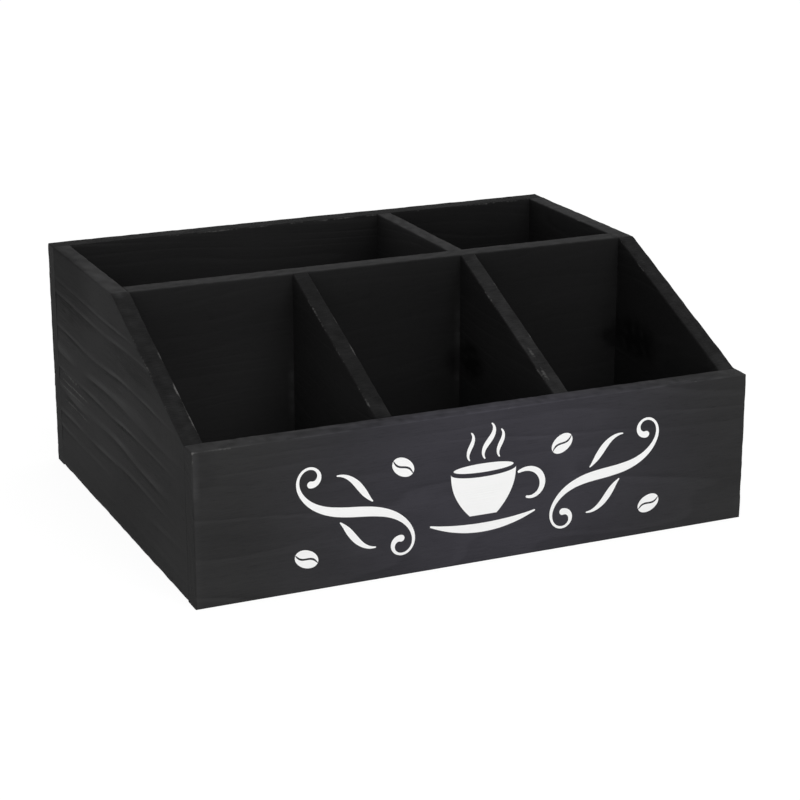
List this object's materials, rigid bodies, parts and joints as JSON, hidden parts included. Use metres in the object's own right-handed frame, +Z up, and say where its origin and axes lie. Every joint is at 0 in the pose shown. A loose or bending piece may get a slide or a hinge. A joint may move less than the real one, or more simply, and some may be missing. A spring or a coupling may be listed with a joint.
{
  "type": "coffee station organizer",
  "caption": "Open-topped wooden caddy with sloping sides and a low front board, divided into compartments for cups, pods, sachets and stirrers.",
  "frame": {"origin": "middle of the flat underside", "axes": "+X to the right seen from the front, +Y from the front board to the back board, +Z up"},
  "size_m": [0.305, 0.241, 0.127],
  "materials": {
    "black_stained_board": "satin black stain over brushed softwood grain, edges worn a little lighter",
    "black_stained_base": "matt black stain on thin plywood",
    "nail_steel": "plain drawn steel",
    "white_paint": "matt opaque white paint, laid on the front board in a thin film"
  },
  "bodies": {
    "root": {"front_board": "black_stained_board", "back_board": "black_stained_board", "left_side": "black_stained_board", "right_side": "black_stained_board", "partition": "black_stained_board", "front_divider_left": "black_stained_board", "front_divider_right": "black_stained_board", "rear_divider": "black_stained_board", "base_panel": "black_stained_base", "front_board_brads": "nail_steel", "back_board_brads": "nail_steel", "left_side_brads": "nail_steel", "right_side_brads": "nail_steel", "partition_brads": "nail_steel", "base_panel_brads": "nail_steel"}
  },
  "joints": []
}
